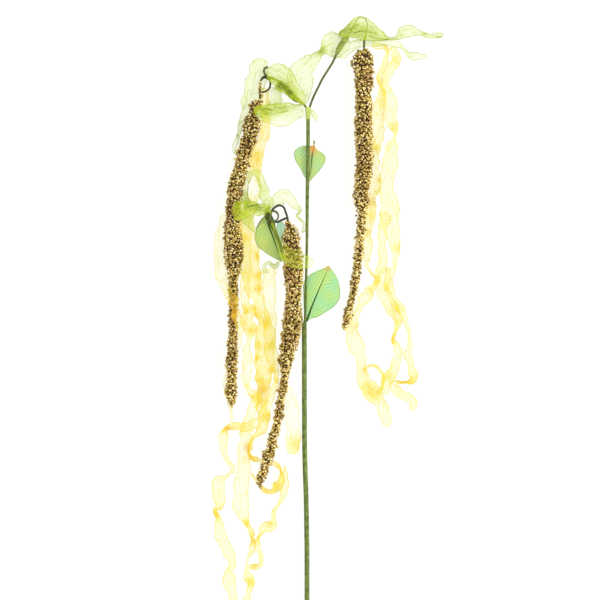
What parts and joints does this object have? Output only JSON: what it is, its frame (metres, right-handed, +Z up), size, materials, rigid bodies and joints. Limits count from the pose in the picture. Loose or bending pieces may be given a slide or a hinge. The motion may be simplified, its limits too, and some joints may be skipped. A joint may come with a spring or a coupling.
{
  "type": "craft amaranth spray",
  "caption": "Hanging amaranth spray laid flat: a taped wire stem with hooked branches, long beaded seed drops, sheer green and yellow organza ribbons and fabric leaves.",
  "frame": {"origin": "centre of the outline on the surface that it lies on", "axes": "+Y along the stem towards the branches, +Z up from the surface, +X to the right seen from above"},
  "size_m": [0.2312, 0.7639, 0.0235],
  "materials": {
    "stem_tape": "matt waxed paper tape",
    "binding_tape": "matt waxed paper tape",
    "steel_wire": "plain drawn wire",
    "green_wire": "dark green enamel",
    "beads": "metallic olive gold, glossy",
    "leaf_fabric": "stiffened sheer cloth, orange at the tip",
    "green_organza": "sheer organza",
    "yellow_organza": "sheer organza with gold flecks"
  },
  "bodies": {
    "root": {"binding_left": "binding_tape", "binding_lower": "binding_tape", "binding_right": "binding_tape", "branch_left": "stem_tape", "branch_lower": "stem_tape", "branch_right": "stem_tape", "drop_left": "beads", "drop_middle": "beads", "drop_right": "beads", "fork_sleeve": "green_organza", "green_arch_middle": "green_organza", "green_band_left": "green_organza", "green_canopy_right": "green_organza", "green_crest_middle": "green_organza", "green_curl_middle": "green_organza", "green_drape_middle": "green_organza", "green_drip_left": "green_organza", "green_loop_fork": "green_organza", "green_ruffle_right": "green_organza", "green_sheet_left": "green_organza", "green_strand_middle": "green_organza", "green_tail_right": "green_organza", "green_veil_left": "green_organza", "green_wing_middle": "green_organza", "hook_left": "green_wire", "hook_middle": "green_wire", "leaf_big": "leaf_fabric", "leaf_knot": "leaf_fabric", "leaf_small": "leaf_fabric", "leaf_upper": "leaf_fabric", "stem_lower": "stem_tape", "stem_upper": "stem_tape", "streamer_left_centre": "yellow_organza", "streamer_left_long": "yellow_organza", "streamer_left_main": "yellow_organza", "streamer_left_outer": "yellow_organza", "streamer_middle_side": "yellow_organza", "streamer_middle_tail": "yellow_organza", "streamer_right_inner": "yellow_organza", "streamer_right_low": "yellow_organza", "streamer_right_middle": "yellow_organza", "streamer_right_outer": "yellow_organza", "streamer_right_ring": "yellow_organza", "wire_left": "steel_wire", "wire_lower": "steel_wire", "wire_right": "steel_wire"}
  },
  "joints": []
}
